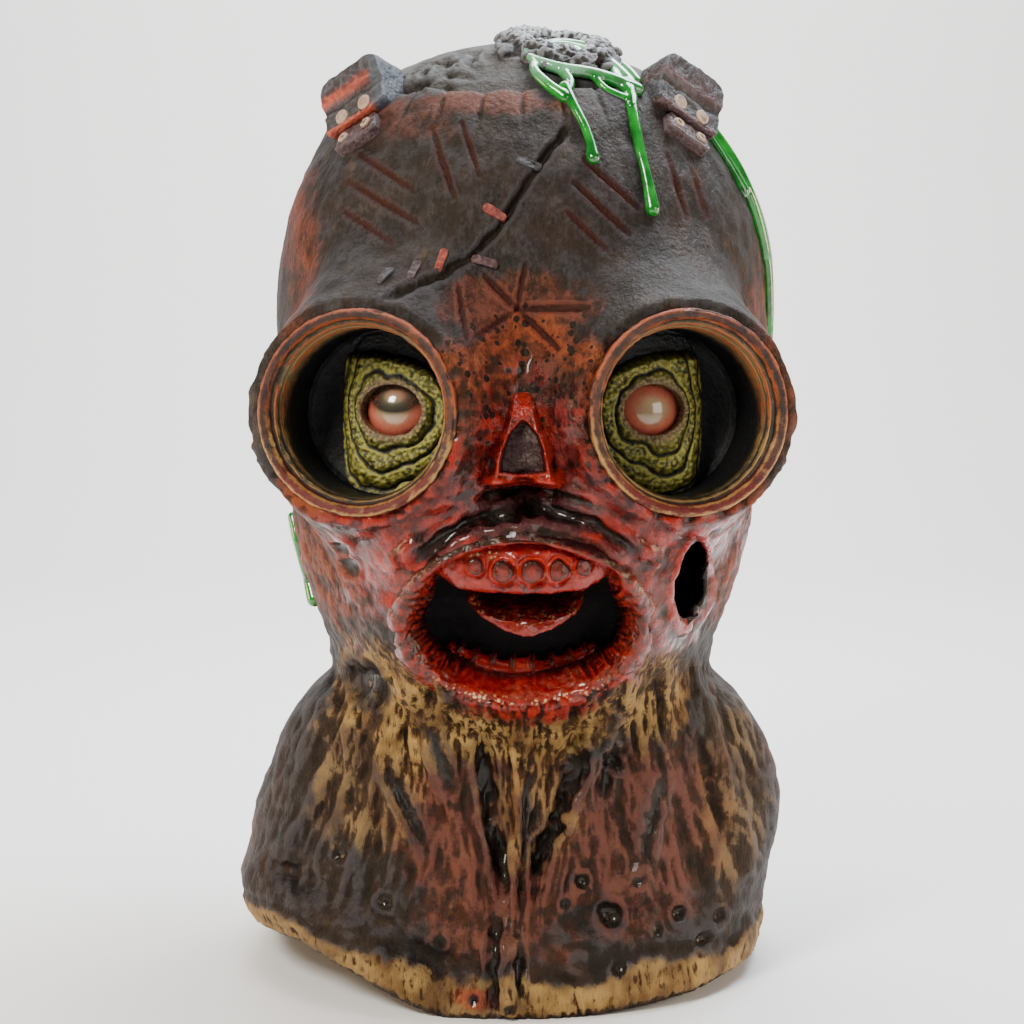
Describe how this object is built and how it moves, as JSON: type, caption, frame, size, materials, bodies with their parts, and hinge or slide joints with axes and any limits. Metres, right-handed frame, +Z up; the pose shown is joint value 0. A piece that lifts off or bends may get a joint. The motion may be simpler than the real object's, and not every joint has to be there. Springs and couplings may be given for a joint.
{
  "type": "monster mask",
  "caption": "Overhead monster mask: hollow latex hood with a collar, round eyepieces, open mouth, riveted tabs and slime runs, standing on its rim.",
  "frame": {"origin": "middle of the footprint of the whole mask, in the plane that the collar's rim stands on", "axes": "+Z up through the crown, -Y out of the face, +X to the right of someone who looks at the face"},
  "size_m": [0.2394, 0.2594, 0.4084],
  "materials": {
    "painted_latex": "moulded latex painted as dark hide, blood and ochre bark",
    "eyepiece_rim": "moulded latex painted as aged brass",
    "scaly_skin": "moulded latex, satin, olive gold",
    "wet_eye": "glossy cream and pink",
    "raw_flesh": "moulded latex with a wet red gloss",
    "gum_flesh": "moulded latex with a wet red gloss",
    "dark_throat": "moulded latex painted black",
    "strap_leather": "moulded latex painted as red-brown leather",
    "strap_foot": "moulded latex painted as black leather",
    "worn_rivet": "moulded latex painted as worn metal",
    "torn_hide": "torn moulded latex, grey edges",
    "slime": "clear glossy green resin"
  },
  "bodies": {
    "root": {"hood": "painted_latex", "goggle_left": "eyepiece_rim", "goggle_right": "eyepiece_rim", "eye_skin_left": "scaly_skin", "eye_skin_right": "scaly_skin", "eyeball_left": "wet_eye", "eyeball_right": "wet_eye", "nose": "raw_flesh", "lip_ring": "raw_flesh", "tongue": "raw_flesh", "upper_gum": "gum_flesh", "lower_gum": "gum_flesh", "mouth_cup": "dark_throat", "strap_tab_left": "strap_leather", "strap_tab_right": "strap_leather", "tab_foot_left": "strap_foot", "tab_foot_right": "strap_foot", "rivet_left_1": "worn_rivet", "rivet_left_2": "worn_rivet", "rivet_right_1": "worn_rivet", "rivet_right_2": "worn_rivet", "eyelet_left_1": "worn_rivet", "eyelet_left_2": "worn_rivet", "eyelet_right_1": "worn_rivet", "eyelet_right_2": "worn_rivet", "crown_crust": "torn_hide", "staple_1": "strap_foot", "staple_2": "strap_foot", "staple_3": "strap_foot", "staple_4": "strap_foot", "staple_5": "strap_foot", "staple_6": "strap_foot", "slime_crown": "slime", "slime_drip_left": "slime", "slime_drip_right": "slime", "slime_side": "slime", "slime_cheek": "slime"}
  },
  "joints": []
}
